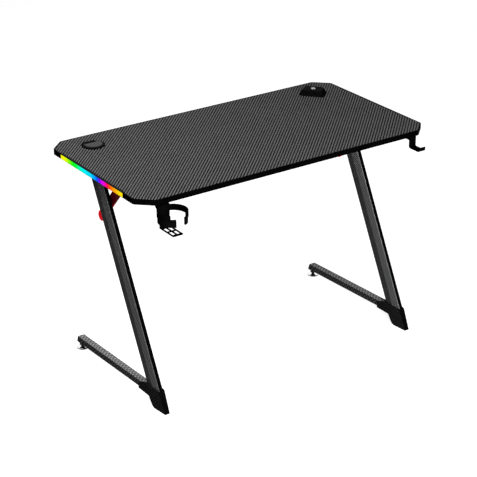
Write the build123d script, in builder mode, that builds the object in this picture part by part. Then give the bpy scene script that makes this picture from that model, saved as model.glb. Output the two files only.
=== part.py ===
"""Straight gaming desk with Z-shaped legs, edge lighting, cup holder and headphone hook.

Frame: +Z up, floor at Z = 0, +X along the long side to the user's right, user on the -Y side.
The origin lies on the floor, below the centre of the whole desk with its cup holder.
"""
import os
from math import atan, cos, degrees, radians, sin, sqrt

from build123d import *

# ---------------------------------------------------------------- driving dimensions (mm)
# desktop
top_length = 1140
top_depth = 594
top_thickness = 18
top_height = 750
corner_cut_x = 52
corner_cut_y = 48
corner_round = 16
band_thickness = 2

# edge lighting, one channel in each short side of the desktop
light_length = 385
light_offset = 4.5
channel_depth = 6
channel_end_wall = 2
channel_top_wall = 2.5
channel_bottom_wall = 1.2
channel_back_wall = 1.5
tape_thickness = 0.8
tape_height = 10
chip_size = 5
chip_thickness = 1
chip_pitch = 16
diffuser_bulge = 1.2
diffuser_thickness = 3.4
diffuser_round = 1.2

# legs: leaning column, foot rail and top rail of each side
leg_inset = 69.4
lean_ratio = 0.514
column_head_y = 76
column_run = 76
column_edge_width = 13.4
column_ridge_width = 19
column_wall = 1.6
column_floor_gap = 6
foot_rail_width = 26.6
foot_rail_height = 24.4
foot_rail_wall = 2
foot_rail_round = 3
foot_rail_slope = 0.044
foot_rail_centre_z = 43.3
foot_rail_rear_y = 212
top_rail_width = 40
top_rail_height = 30
top_rail_wall = 2
top_rail_inset = 97
top_rail_round = 2
rail_screw_inset = 35
top_cap_thickness = 2.5
top_cap_plug = 14
web_rise = 9
web_top_run = 6
web_run = 14

# feet
foot_cap_length = 43
foot_cap_slant = 8
foot_cap_plug = 24
boss_radius = 9.5
boss_bottom_z = 12
boss_taper = 2.5
levelling_y = 241
levelling_disc_radius = 21
levelling_disc_height = 2.8
levelling_disc_edge = 0.8
levelling_pad_thickness = 2.2
levelling_pad_inset = 0.6
levelling_hex_size = 10
levelling_hex_height = 4
levelling_stud_radius = 4
levelling_stud_top = 32
bush_radius = 6
bush_length = 12
shoe_wall = 2.2
shoe_front_wall = 1
shoe_sole_wall = 4
shoe_length = 152.5
shoe_heel_length = 64.5
shoe_toe_width = 16
shoe_taper_length = 73.5
shoe_top_z = 72
shoe_floor_z = 1.5
shoe_side_drop = 5
pad_length = 46
pad_width = 14
pad_seat_depth = 2.5
pad_edge_round = 1
shoe_heel_run = 25
shoe_rounds = (2, 2, 4, 3, 1.5, 6, 20)
pad_inset = 7.5

# red struts
strut_width = 35
strut_thickness = 5
strut_lean = 47.9
strut_cross_drop = 95
strut_tail = 76
strut_foot_length = 30
strut_foot_thickness = 4
strut_hole_offset = 18
strut_foot_hole_inset = 12

# beams between the legs
beam_depth = 40
beam_height = 24
beam_wall = 2
beam_drop = 4
beam_front_inset = 187
beam_rear_inset = 192
end_plate_width = 84
end_plate_thickness = 3
end_plate_bolt_spacing = 62

# fasteners
screw_radius = 2.95
screw_head_radius = 5.5
screw_head_height = 3.2
screw_socket_size = 4
screw_socket_depth = 1.8
screw_tip_gap = 2
insert_radius = 4.5
insert_length = 13
insert_depth = 13.5
thread_clearance = 0.08
hole_clearance = 0.35
plate_screw_length = 12
ring_screw_length = 8
ring_screw_radius = 2
ring_screw_head = 3.8
wood_screw_length = 12
wood_screw_radius = 2
wood_screw_head = 3.8

# cup holder
cup_plate_inset = 79
cup_plate_width = 36
cup_plate_thickness = 4
cup_plate_front = 5
cup_tray_drop = 77
cup_tray_reach = 78
cup_window_width = 12
cup_window_length = 27
cup_window_rib = 4
cup_flange_depth = 48
cup_gusset_size = 30
cup_gusset_thickness = 4
cup_screw_spacing = 15
ring_side_shift = 4.7
ring_radius = 48.2
ring_thickness = 3.5
ring_height = 20
ring_drop = 8.5
ring_standoff = 3.6
ring_gap_right = 65
ring_gap_left = 130
ring_lug_width = 24
ring_lug_height = 16
ring_lug_reach = 9
grip_gap_left = 108
grip_angle_right = 35
grip_angle_left = 107
grip_thickness = 4.4
grip_outer_inset = 1.7
grip_top_drop = 14
grip_height = 24.5

# headphone hook
hook_inset = 77
hook_width = 27
hook_thickness = 4
hook_set_forward = 1
hook_drop = 38
hook_reach = 49
hook_lip = 15
hook_base_depth = 46
hook_base_height = 10
hook_screw_spacing = 24
hook_rounds = (1, 1, 4, 4, 1.5, 1.5, 7, 7, 3, 1)

# cable grommet
grommet_side_inset = 123
grommet_rear_inset = 94
grommet_flange_radius = 38
grommet_flange_height = 3.5
grommet_sleeve_radius = 30
grommet_sleeve_wall = 2
grommet_sleeve_drop = 6
grommet_cap_radius = 34.5
grommet_cap_height = 3
grommet_cap_proud = 0.5
grommet_flange_round = 1
grommet_skirt_depth = 9
grommet_skirt_wall = 1.8
grommet_slot_length = 44
grommet_slot_width = 8
grommet_slot_offset = 22.5

# hub in the rear right corner
hub_side_inset = 124
hub_rear_inset = 104
hub_turn = -50
hub_base_length = 92
hub_base_depth = 64
hub_top_length = 68
hub_top_depth = 44
hub_height = 20
hub_wall = 2.4
hub_corner = 12
hub_top_corner = 8.4
hub_floor = 3
hub_neck_radius = 20
hub_neck_wall = 2
hub_neck_drop = 10
hub_nut_radius = 29
hub_nut_height = 8
hub_port_width = 13.2
hub_port_height = 5.8
hub_port_depth = 12
hub_port_wall = 0.4
hub_port_pitch = 24
hub_button_radius = 8
hub_button_height = 7
hub_button_proud = 1.6
hub_button_travel = 1.2
hub_button_rim = 1.2
hub_circuit_thickness = 1.6
hub_circuit_lift = 2
hub_switch_size = 6
hub_ring_radius = 15
hub_ring_width = 1.5
hub_ring_depth = 0.6
hub_edge_round = 1.2
hub_post_pitch_x = 44
hub_post_pitch_y = 20
hub_post_radius = 3
hub_nut_notches = 8
hub_nut_notch_radius = 3
hub_circuit_length = 52
hub_circuit_depth = 30
hub_tongue_thickness = 1.8
hub_tongue_length = 10.2
hub_tongue_side_gap = 1.2

# lighting controller under the desktop
controller_side_inset = 210
controller_rear_inset = 92
controller_length = 84
controller_depth = 46
controller_height = 22
controller_wall = 2
controller_round = 4
controller_button_radius = 5
controller_button_length = 7
controller_button_proud = 1.6
controller_button_travel = 1
controller_jack_radius = 3.2
controller_jack_wall = 1
controller_jack_length = 11
controller_pin_radius = 1
controller_circuit_thickness = 1.6
controller_ear = 12
controller_switch_size = 6

# clearances between pieces
seat_gap = 0.1
skin_gap = 0.3
turn_gap = 0.05
fine_gap = 0.2

# ---------------------------------------------------------------- derived sizes and places
board_z = top_height - top_thickness
half_length = top_length / 2
half_depth = top_depth / 2
ring_centre_back = cup_plate_front + ring_standoff + ring_radius
ring_front_reach = ring_centre_back + ring_radius * sin(radians(max(ring_gap_left, 90)))
grip_front_reach = ring_centre_back + ring_radius - grip_outer_inset
desk_y = max(ring_front_reach, grip_front_reach) / 2
desk_front_y = desk_y - half_depth
desk_back_y = desk_y + half_depth
leg_x = half_length - leg_inset
column_toe_y = column_head_y - lean_ratio * top_height
lean_angle = degrees(atan(lean_ratio))
column_side = column_run * cos(radians(lean_angle))
top_rail_z = board_z - top_rail_height
top_rail_length = top_depth - 2 * top_rail_inset
strut_cross_z = top_rail_z - strut_cross_drop
foot_slope_angle = degrees(atan(foot_rail_slope))
channel_length = light_length + 2 * channel_end_wall
groove_height = top_thickness - channel_top_wall - channel_bottom_wall
groove_z = board_z + channel_bottom_wall
groove_depth = channel_depth - channel_back_wall
groove_mid_z = groove_z + groove_height / 2
rail_screw_pitch = top_rail_length / 2 - rail_screw_inset
rail_screw_ys = [desk_y + step * rail_screw_pitch for step in (-1, 0, 1)]
cup_plate_x = cup_plate_inset - half_length
ring_x = cup_plate_x - ring_side_shift
hook_x = half_length - hook_inset
grommet_x = grommet_side_inset - half_length
grommet_y = half_depth - grommet_rear_inset
hub_x = half_length - hub_side_inset
hub_y = half_depth - hub_rear_inset
controller_x = controller_side_inset - half_length
controller_y = half_depth - controller_rear_inset
ring_y = desk_front_y - ring_centre_back
cup_plate_y = desk_front_y - cup_plate_front
low = (Align.CENTER, Align.CENTER, Align.MIN)
high = (Align.CENTER, Align.CENTER, Align.MAX)

os.makedirs("parts", exist_ok=True)


def save(part, label):
    """Name a finished piece and write it to its own file."""
    part.label = label
    export_step(part, f"parts/{label}.step")


def at_desk(z, y=0):
    """Horizontal plane at height z, centred on the desktop and moved back by y."""
    return Plane(origin=(0, desk_y + y, z))


def column_front_y(z):
    """Front face of the leaning columns at height z."""
    return desk_y + column_toe_y + lean_ratio * z


def side_name(sign):
    return "left" if sign < 0 else "right"


def foot_rail_plane(x, y):
    """Plane across a foot rail at depth y, its normal running forwards and up the rail."""
    slope = radians(foot_slope_angle)
    origin = (x, desk_y + y, foot_rail_centre_z - foot_rail_slope * y)
    return Plane(origin=origin, x_dir=(1, 0, 0), z_dir=(0, -cos(slope), sin(slope)))


def column_plane(x):
    """Plane across a leaning column at the floor, its normal running up the column."""
    lean = radians(lean_angle)
    origin = (x, column_front_y(0) + column_run / 2, 0)
    return Plane(origin=origin, x_dir=(1, 0, 0), z_dir=(0, sin(lean), cos(lean)))


def foot_rail_z(y):
    """Height of a foot rail's centre line at depth y behind the middle of the desktop."""
    return foot_rail_centre_z - foot_rail_slope * y


def web_profile():
    """Side view of the small welded web in the corner of column and foot rail."""
    crotch_y = column_toe_y + column_run + lean_ratio * foot_rail_centre_z
    rail_top = foot_rail_z(crotch_y) + foot_rail_height / 2
    root_z = rail_top - foot_rail_wall / 2
    top_z = rail_top + web_rise
    root_y = column_front_y(rail_top) + column_run
    return [
        (root_y - web_run, root_z),
        (root_y - web_run, top_z),
        (root_y + web_top_run, top_z),
        (root_y + web_run, root_z),
    ]


def column_section(margin=0):
    """Points of the six-sided column section, with a ridge along the middle of each side."""
    edge = column_edge_width / 2 + margin
    ridge = column_ridge_width / 2 + margin
    end = column_side / 2 + margin
    return [(-edge, -end), (edge, -end), (ridge, 0), (edge, end), (-edge, end), (-ridge, 0)]


# ---------------------------------------------------------------- shared fasteners
def make_screw(length, radius, head_radius, head_height, socket):
    """Button-head screw, its shank pointing up from the underside seat at Z = 0."""
    with BuildPart() as screw:
        Cylinder(radius, length, align=low)
        Cylinder(head_radius, head_height, align=high)
        fillet(screw.edges().sort_by(Axis.Z)[0], head_height / 2)
        with BuildSketch(Plane.XY.offset(-head_height)):
            RegularPolygon(socket / 2, 6, major_radius=False)
        extrude(amount=screw_socket_depth, mode=Mode.SUBTRACT)
    return screw.part


def make_insert():
    """Threaded insert for the board, its open end down at Z = 0."""
    with BuildPart() as insert:
        Cylinder(insert_radius, insert_length, align=low)
        Cylinder(screw_radius + thread_clearance, insert_length, align=low, mode=Mode.SUBTRACT)
    return insert.part


rail_screw = make_screw(
    top_rail_height + insert_length - screw_tip_gap,
    screw_radius,
    screw_head_radius,
    screw_head_height,
    screw_socket_size,
)
plate_screw = make_screw(
    plate_screw_length, screw_radius, screw_head_radius, screw_head_height, screw_socket_size
)
ring_screw = make_screw(
    ring_screw_length, ring_screw_radius, ring_screw_head, ring_screw_head / 2, ring_screw_radius * 2
)
wood_screw = make_screw(
    wood_screw_length, wood_screw_radius, wood_screw_head, wood_screw_head / 2, wood_screw_radius * 2
)
insert = make_insert()

rail_screw_points = [(sign * leg_x, y) for sign in (-1, 1) for y in rail_screw_ys]
cup_screw_y = desk_front_y + cup_flange_depth / 2
cup_screw_points = [(cup_plate_x + side * cup_screw_spacing / 2, cup_screw_y) for side in (-1, 1)]
hook_back_y = desk_front_y - hook_set_forward + hook_thickness
hook_screw_mid_y = hook_back_y + hook_base_depth / 2
hook_screw_points = [(hook_x, hook_screw_mid_y + side * hook_screw_spacing / 2) for side in (-1, 1)]
insert_points = rail_screw_points + cup_screw_points + hook_screw_points
controller_screw_points = [
    (controller_x + side * (controller_length + controller_ear) / 2, desk_y + controller_y)
    for side in (-1, 1)
]

with BuildPart() as threaded_inserts:
    with Locations(*[(x, y, board_z) for x, y in insert_points]):
        add(insert)
save(threaded_inserts.part, "threaded_inserts")

with BuildPart() as rail_screws:
    with Locations(*[(x, y, top_rail_z) for x, y in rail_screw_points]):
        add(rail_screw)
save(rail_screws.part, "rail_screws")

# ---------------------------------------------------------------- desktop
def desktop_corners(inset=0):
    """Corners of the eight-sided desktop outline, moved inwards by inset."""
    x_end = half_length - inset
    y_end = half_depth - inset
    pull = inset * (sqrt(corner_cut_x**2 + corner_cut_y**2) - corner_cut_x - corner_cut_y)
    cut_x = corner_cut_x + pull / corner_cut_y
    cut_y = corner_cut_y + pull / corner_cut_x
    right = [(x_end, -y_end + cut_y), (x_end, y_end - cut_y)]
    back = [(x_end - cut_x, y_end), (-x_end + cut_x, y_end)]
    left = [(-x, -y) for x, y in right]
    front = [(-x, -y) for x, y in back]
    return right + back + left + front


def draw_desktop(inset=0):
    """Face of the desktop outline with its corners rounded, moved inwards by inset."""
    with BuildSketch() as outline:
        with BuildLine():
            FilletPolyline(*desktop_corners(inset), radius=corner_round - inset, close=True)
        make_face()
    return outline.sketch


whole_outline = draw_desktop()
board_outline = draw_desktop(band_thickness)
notch_x = half_length - channel_depth / 2

with BuildPart() as desktop_board:
    with BuildSketch(at_desk(board_z)):
        add(board_outline)
        with Locations((-notch_x, light_offset), (notch_x, light_offset)):
            Rectangle(channel_depth, channel_length, mode=Mode.SUBTRACT)
        with Locations((grommet_x, grommet_y)):
            Circle(grommet_sleeve_radius + skin_gap, mode=Mode.SUBTRACT)
        with Locations((hub_x, hub_y)):
            Circle(hub_neck_radius + skin_gap, mode=Mode.SUBTRACT)
    extrude(amount=top_thickness)
    with Locations(*[(x, y, board_z) for x, y in insert_points]):
        Cylinder(insert_radius + seat_gap, insert_depth, align=low, mode=Mode.SUBTRACT)
    with Locations(*[(x, y, board_z) for x, y in controller_screw_points]):
        Cylinder(
            wood_screw_radius + thread_clearance, wood_screw_length, align=low, mode=Mode.SUBTRACT
        )
save(desktop_board.part, "desktop_board")

for end_name, end_sign in (("front", -1), ("rear", 1)):
    with BuildPart() as edge_band:
        with BuildSketch(at_desk(board_z)):
            add(whole_outline)
            with Locations((-notch_x, light_offset), (notch_x, light_offset)):
                Rectangle(channel_depth, channel_length, mode=Mode.SUBTRACT)
            with Locations((0, light_offset - end_sign * top_depth)):
                Rectangle(2 * top_length, 2 * top_depth, mode=Mode.SUBTRACT)
        extrude(amount=top_thickness)
        with BuildSketch(at_desk(board_z)):
            add(board_outline)
        extrude(amount=top_thickness, mode=Mode.SUBTRACT)
    save(edge_band.part, f"edge_band_{end_name}")

# ---------------------------------------------------------------- edge lighting
for sign in (-1, 1):
    side = side_name(sign)
    outer_x = sign * half_length
    groove_x = outer_x - sign * groove_depth / 2
    tape_x = outer_x - sign * (groove_depth - tape_thickness / 2)
    chip_x = outer_x - sign * (groove_depth - tape_thickness - chip_thickness / 2)
    diffuser_x = outer_x + sign * (diffuser_bulge - diffuser_thickness / 2)
    chip_count = int((light_length - chip_pitch) / chip_pitch)

    with BuildPart(at_desk(board_z, light_offset)) as led_channel:
        with Locations((sign * notch_x, 0, 0)):
            Box(channel_depth, channel_length, top_thickness, align=low)
        with Locations((groove_x, 0, groove_z - board_z)):
            Box(groove_depth, light_length, groove_height, align=low, mode=Mode.SUBTRACT)
    save(led_channel.part, f"led_channel_{side}")

    with BuildPart(at_desk(groove_mid_z, light_offset)) as led_tape:
        with Locations((tape_x, 0, 0)):
            Box(tape_thickness, light_length - 2 * fine_gap, tape_height)
        with Locations((chip_x, 0, 0)):
            with GridLocations(0, chip_pitch, 1, chip_count):
                Box(chip_thickness, chip_size, chip_size)
    save(led_tape.part, f"led_tape_{side}")

    with BuildPart(at_desk(groove_mid_z, light_offset)) as led_diffuser:
        with Locations((diffuser_x, 0, 0)):
            Box(diffuser_thickness, light_length - 2 * fine_gap, groove_height - 2 * fine_gap)
        outer_face = led_diffuser.faces().sort_by(Axis.X)[0 if sign < 0 else -1]
        fillet(outer_face.edges(), diffuser_round)
    save(led_diffuser.part, f"led_diffuser_{side}")

# ---------------------------------------------------------------- legs
strut_in = column_ridge_width / 2 + fine_gap
strut_cross_y = column_front_y(strut_cross_z) + column_run / 2
strut_rise = (top_rail_z - strut_cross_z) / sin(radians(strut_lean))
strut_foot_y = strut_cross_y - strut_rise * cos(radians(strut_lean))
strut_foot_depth = strut_width / sin(radians(strut_lean))
beam_z = board_z - beam_drop - beam_height / 2
beam_ys = [desk_front_y + beam_front_inset, desk_back_y - beam_rear_inset]
rail_inner_x = leg_x - top_rail_width / 2
rail_mid_z = top_rail_z + top_rail_height / 2
beam_end_x = rail_inner_x - end_plate_thickness
column_back_plane = Plane(
    origin=(0, column_front_y(0) + column_run, 0),
    x_dir=(1, 0, 0),
    z_dir=(0, cos(radians(lean_angle)), -sin(radians(lean_angle))),
)


def across_rail(x, y, end):
    """Upright plane across a top rail, its normal pointing backwards, or forwards for end -1."""
    return Plane(origin=(x, y, rail_mid_z), x_dir=(1, 0, 0), z_dir=(0, end, 0))


def across_beam(x, y):
    """Upright plane across a beam, its normal pointing to the user's right."""
    return Plane(origin=(x, y, beam_z), x_dir=(0, 1, 0), z_dir=(1, 0, 0))


def strut_plane(x):
    """Upright plane at x whose own X runs down and back along the red strut."""
    lean = radians(strut_lean)
    return Plane(
        origin=(x, strut_cross_y, strut_cross_z),
        x_dir=(0, cos(lean), -sin(lean)),
        z_dir=(1, 0, 0),
    )


def strut_holes(sign):
    """Places of the two strut screws, their shanks pointing from the middle of the desk outwards."""
    x = sign * (leg_x - strut_in - strut_thickness)
    plane = strut_plane(x)
    spots = [plane.from_local_coords((step * strut_hole_offset, 0, 0)) for step in (-1, 1)]
    return [Plane(origin=spot, x_dir=(0, 1, 0), z_dir=(sign, 0, 0)) for spot in spots]


def strut_foot_hole(sign):
    """Place of the upright screw that holds the strut's foot to the top rail."""
    x = sign * (leg_x - strut_in - strut_thickness + strut_foot_length - strut_foot_hole_inset)
    return (x, strut_foot_y, top_rail_z - strut_foot_thickness)


def beam_holes(sign, y):
    """Places of the two screws at one end of the beam at depth y, pointing outwards."""
    x = sign * beam_end_x
    ys = [y + step * end_plate_bolt_spacing / 2 for step in (-1, 1)]
    return [Plane(origin=(x, hole_y, beam_z), x_dir=(0, 1, 0), z_dir=(sign, 0, 0)) for hole_y in ys]


for sign in (-1, 1):
    side = side_name(sign)
    x = sign * leg_x
    column_length = top_height / cos(radians(lean_angle))

    with BuildPart() as column:
        with BuildSketch(column_plane(x)):
            Polygon(*column_section(), align=None)
            Polygon(*column_section(-column_wall), align=None, mode=Mode.SUBTRACT)
        extrude(amount=column_length)
        split(bisect_by=Plane.XY.offset(column_floor_gap), keep=Keep.TOP)
        split(bisect_by=Plane.XY.offset(top_rail_z), keep=Keep.BOTTOM)
        with Locations(*strut_holes(sign)):
            Cylinder(
                screw_radius + thread_clearance, plate_screw_length + 1, align=low, mode=Mode.SUBTRACT
            )
    save(column.part, f"column_{side}")

    with BuildPart() as foot_rail:
        with BuildSketch(foot_rail_plane(x, foot_rail_rear_y)):
            RectangleRounded(foot_rail_width, foot_rail_height, foot_rail_round)
            RectangleRounded(
                foot_rail_width - 2 * foot_rail_wall,
                foot_rail_height - 2 * foot_rail_wall,
                foot_rail_round - foot_rail_wall,
                mode=Mode.SUBTRACT,
            )
        extrude(amount=top_depth)
        with BuildSketch(Plane.YZ.offset(x)):
            Polygon(*web_profile(), align=None)
        extrude(amount=column_edge_width / 2, both=True)
        split(bisect_by=column_back_plane, keep=Keep.TOP)
    save(foot_rail.part, f"foot_rail_{side}")

    with BuildPart() as top_rail:
        with BuildSketch(across_rail(x, desk_y - top_rail_length / 2, 1)):
            RectangleRounded(top_rail_width, top_rail_height, top_rail_round)
            Rectangle(
                top_rail_width - 2 * top_rail_wall,
                top_rail_height - 2 * top_rail_wall,
                mode=Mode.SUBTRACT,
            )
        extrude(amount=top_rail_length)
        with Locations(*[(x, y, top_rail_z) for y in rail_screw_ys]):
            Cylinder(
                screw_radius + hole_clearance, top_rail_height, align=low, mode=Mode.SUBTRACT
            )
        with Locations(strut_foot_hole(sign)):
            Cylinder(
                screw_radius + thread_clearance, plate_screw_length, align=low, mode=Mode.SUBTRACT
            )
        for beam_y in beam_ys:
            with Locations(*beam_holes(sign, beam_y)):
                Cylinder(
                    screw_radius + thread_clearance, plate_screw_length, align=low, mode=Mode.SUBTRACT
                )
    save(top_rail.part, f"top_rail_{side}")

    # red strut with its foot under the top rail
    strut_inner_x = sign * (leg_x - strut_in - strut_thickness)
    with BuildPart() as strut:
        with BuildSketch(strut_plane(strut_inner_x)):
            with Locations(((strut_tail - 2 * strut_rise) / 2, 0)):
                Rectangle(strut_tail + 2 * strut_rise, strut_width)
            with Locations((strut_tail, 0)):
                Circle(strut_width / 2)
        extrude(amount=sign * strut_thickness)
        split(bisect_by=Plane.XY.offset(top_rail_z), keep=Keep.BOTTOM)
        foot_x = strut_inner_x + sign * strut_foot_length / 2
        with Locations((foot_x, strut_foot_y, top_rail_z)):
            Box(strut_foot_length, strut_foot_depth, strut_foot_thickness, align=high)
        with Locations(strut_foot_hole(sign), *strut_holes(sign)):
            Cylinder(
                screw_radius + hole_clearance,
                2 * strut_thickness,
                mode=Mode.SUBTRACT,
            )
    save(strut.part, f"strut_{side}")

with BuildPart() as strut_screws:
    for sign in (-1, 1):
        with Locations(strut_foot_hole(sign), *strut_holes(sign)):
            add(plate_screw)
save(strut_screws.part, "strut_screws")

with BuildPart() as top_rail_caps:
    for sign in (-1, 1):
        for end in (-1, 1):
            rail_end = across_rail(sign * leg_x, desk_y + end * top_rail_length / 2, end)
            with BuildSketch(rail_end):
                RectangleRounded(top_rail_width, top_rail_height, top_rail_round)
            extrude(amount=top_cap_thickness)
            with BuildSketch(rail_end):
                Rectangle(
                    top_rail_width - 2 * top_rail_wall - 2 * fine_gap,
                    top_rail_height - 2 * top_rail_wall - 2 * fine_gap,
                )
            extrude(amount=-top_cap_plug)
save(top_rail_caps.part, "top_rail_caps")

# ---------------------------------------------------------------- beams between the legs
for beam_name, beam_y in zip(("front", "rear"), beam_ys):
    with BuildPart() as beam:
        with BuildSketch(across_beam(-beam_end_x, beam_y)):
            Rectangle(beam_depth, beam_height)
            Rectangle(beam_depth - 2 * beam_wall, beam_height - 2 * beam_wall, mode=Mode.SUBTRACT)
        extrude(amount=2 * beam_end_x)
        for sign in (-1, 1):
            with BuildSketch(across_beam(sign * beam_end_x, beam_y)):
                Rectangle(end_plate_width, beam_height)
            extrude(amount=sign * end_plate_thickness)
            with Locations(*beam_holes(sign, beam_y)):
                Cylinder(screw_radius + hole_clearance, 4 * end_plate_thickness, mode=Mode.SUBTRACT)
    save(beam.part, f"beam_{beam_name}")

with BuildPart() as beam_screws:
    for beam_y in beam_ys:
        with Locations(*beam_holes(-1, beam_y), *beam_holes(1, beam_y)):
            add(plate_screw)
save(beam_screws.part, "beam_screws")

# ---------------------------------------------------------------- feet
shoe_front_y = column_front_y(0) - shoe_front_wall / cos(radians(lean_angle))
shoe_half_width = foot_rail_width / 2 + shoe_wall
shoe_rear_y = column_toe_y + shoe_length
shoe_heel_y = column_toe_y + shoe_heel_length
shoe_taper_y = column_toe_y + shoe_taper_length
pad_y = desk_y + column_toe_y + pad_inset + pad_length / 2
levelling_foot_y = desk_y + levelling_y
levelling_hex_z = levelling_pad_thickness + levelling_disc_height


def shoe_profile():
    """Side view of a shoe: toe, leaning front, top, sides along the rail, sole and curved heel."""
    rail_half = foot_rail_height / 2
    top_front = (shoe_front_y + lean_ratio * shoe_top_z, shoe_top_z)
    top_back_y = column_front_y(shoe_top_z) + column_run + shoe_wall
    rear_top_z = foot_rail_z(shoe_rear_y) + rail_half - shoe_side_drop
    sole_z = foot_rail_z(shoe_rear_y) - rail_half - shoe_sole_wall
    return [
        (shoe_front_y + lean_ratio * shoe_floor_z, shoe_floor_z),
        top_front,
        (top_back_y, shoe_top_z),
        (desk_y + shoe_rear_y, rear_top_z),
        (desk_y + shoe_rear_y, sole_z),
        (desk_y + shoe_heel_y + shoe_heel_run, sole_z),
        (desk_y + shoe_heel_y, shoe_floor_z),
    ]


for sign in (-1, 1):
    side = side_name(sign)
    x = sign * leg_x

    # shoe moulded around the foot of the column and the front of the foot rail
    with BuildPart() as column_space:
        with BuildSketch(column_plane(x)):
            Polygon(*column_section(seat_gap), align=None)
        extrude(amount=2 * shoe_top_z)
        split(bisect_by=Plane.XY.offset(column_floor_gap - seat_gap), keep=Keep.TOP)

    with BuildPart() as rail_space:
        with BuildSketch(foot_rail_plane(x, shoe_rear_y + shoe_wall)):
            RectangleRounded(
                foot_rail_width + 2 * seat_gap, foot_rail_height + 2 * seat_gap, foot_rail_round
            )
            Rectangle(
                foot_rail_width + 2 * seat_gap,
                2 * shoe_top_z,
                align=(Align.CENTER, Align.MIN),
            )
        extrude(amount=top_depth)
        split(bisect_by=column_back_plane, keep=Keep.TOP)

    with BuildPart() as shoe:
        with BuildSketch(Plane.YZ.offset(x)):
            with BuildLine():
                FilletPolyline(*shoe_profile(), radius=shoe_rounds, close=True)
            make_face()
        extrude(amount=shoe_half_width, both=True)
        with BuildSketch():
            with BuildLine():
                toe = shoe_toe_width / 2
                rear_y = desk_y + shoe_rear_y
                taper_y = desk_y + shoe_taper_y
                Polyline(
                    (x - shoe_half_width, rear_y),
                    (x - shoe_half_width, taper_y),
                    (x - toe, shoe_front_y),
                    (x + toe, shoe_front_y),
                    (x + shoe_half_width, taper_y),
                    (x + shoe_half_width, rear_y),
                    close=True,
                )
            make_face()
        extrude(amount=2 * shoe_top_z, mode=Mode.INTERSECT)
        add(column_space.part, mode=Mode.SUBTRACT)
        add(rail_space.part, mode=Mode.SUBTRACT)
        with Locations((x, pad_y, 0)):
            Box(
                pad_width + 2 * skin_gap,
                pad_length + 2 * skin_gap,
                shoe_floor_z + pad_seat_depth,
                align=low,
                mode=Mode.SUBTRACT,
            )
    save(shoe.part, f"shoe_{side}")

    with BuildPart() as shoe_pad:
        with BuildSketch(Plane(origin=(x, pad_y, 0))):
            RectangleRounded(pad_width, pad_length, pad_width / 4)
        extrude(amount=shoe_floor_z + pad_seat_depth)
        fillet(shoe_pad.faces().sort_by(Axis.Z)[0].edges(), pad_edge_round)
    save(shoe_pad.part, f"shoe_pad_{side}")

    # plug in the rear end of the foot rail, with a boss for the levelling foot
    with BuildPart() as foot_cap:
        with BuildSketch(foot_rail_plane(x, foot_rail_rear_y)):
            RectangleRounded(foot_rail_width, foot_rail_height, foot_rail_round)
        extrude(amount=-foot_cap_length)
        rear_face_y = desk_y + foot_rail_rear_y + foot_cap_length
        cut_lean = atan(foot_cap_slant / foot_rail_height)
        cap_end = Plane(
            origin=(x, rear_face_y - foot_cap_slant / 2, foot_rail_z(levelling_y)),
            x_dir=(1, 0, 0),
            z_dir=(0, cos(cut_lean), sin(cut_lean)),
        )
        split(bisect_by=cap_end, keep=Keep.BOTTOM)
        with BuildSketch(foot_rail_plane(x, foot_rail_rear_y)):
            RectangleRounded(
                foot_rail_width - 2 * foot_rail_wall - 2 * fine_gap,
                foot_rail_height - 2 * foot_rail_wall - 2 * fine_gap,
                foot_rail_round - foot_rail_wall,
            )
        extrude(amount=foot_cap_plug)
        with Locations((x, levelling_foot_y, boss_bottom_z)):
            Cylinder(boss_radius, foot_rail_z(levelling_y) - boss_bottom_z, align=low)
            Cone(
                boss_radius - boss_taper,
                boss_radius,
                boss_taper,
                align=high,
            )
            Cylinder(bush_radius + seat_gap, bush_length, align=low, mode=Mode.SUBTRACT)
        with Locations((x, levelling_foot_y, boss_bottom_z - boss_taper)):
            Cylinder(
                levelling_stud_radius + skin_gap,
                levelling_stud_top - boss_bottom_z + boss_taper + levelling_stud_radius,
                align=low,
                mode=Mode.SUBTRACT,
            )
    save(foot_cap.part, f"foot_cap_{side}")

    with BuildPart() as levelling_foot:
        with Locations((x, levelling_foot_y, levelling_pad_thickness)):
            Cylinder(levelling_disc_radius, levelling_disc_height, align=low)
            Cylinder(
                levelling_stud_radius, levelling_stud_top - levelling_pad_thickness, align=low
            )
        disc_top = levelling_foot.edges().filter_by(GeomType.CIRCLE).sort_by(SortBy.RADIUS)[-2:]
        chamfer(disc_top.sort_by(Axis.Z)[-1], levelling_disc_edge)
        with BuildSketch(Plane(origin=(x, levelling_foot_y, levelling_hex_z))):
            RegularPolygon(levelling_hex_size / 2, 6, major_radius=False)
        extrude(amount=levelling_hex_height)
    save(levelling_foot.part, f"levelling_foot_{side}")

    with BuildPart() as levelling_pad:
        with Locations((x, levelling_foot_y, 0)):
            Cylinder(levelling_disc_radius - levelling_pad_inset, levelling_pad_thickness, align=low)
    save(levelling_pad.part, f"levelling_pad_{side}")

with BuildPart() as levelling_bushes:
    with Locations(*[(sign * leg_x, levelling_foot_y, boss_bottom_z) for sign in (-1, 1)]):
        Cylinder(bush_radius, bush_length, align=low)
        Cylinder(levelling_stud_radius + turn_gap, bush_length, align=low, mode=Mode.SUBTRACT)
save(levelling_bushes.part, "levelling_bushes")

# ---------------------------------------------------------------- cup holder
cup_tray_z = board_z - cup_tray_drop
ring_centre_z = board_z - ring_drop
ring_plane = Plane(origin=(ring_x, ring_y, ring_centre_z))
cup_plate_back = cup_plate_y + cup_plate_thickness
cup_tray_mid_y = cup_plate_y - (cup_tray_reach - cup_plate_thickness) / 2
gusset_x = cup_plate_width / 2 - cup_gusset_thickness / 2
lug_z = ring_centre_z - ring_lug_height / 2


def ring_screw_plane(y):
    """Upright plane at depth y at the screw of the cup ring, its normal pointing to the user."""
    return Plane(origin=(ring_x, y, ring_centre_z), z_dir=(0, -1, 0))


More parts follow.
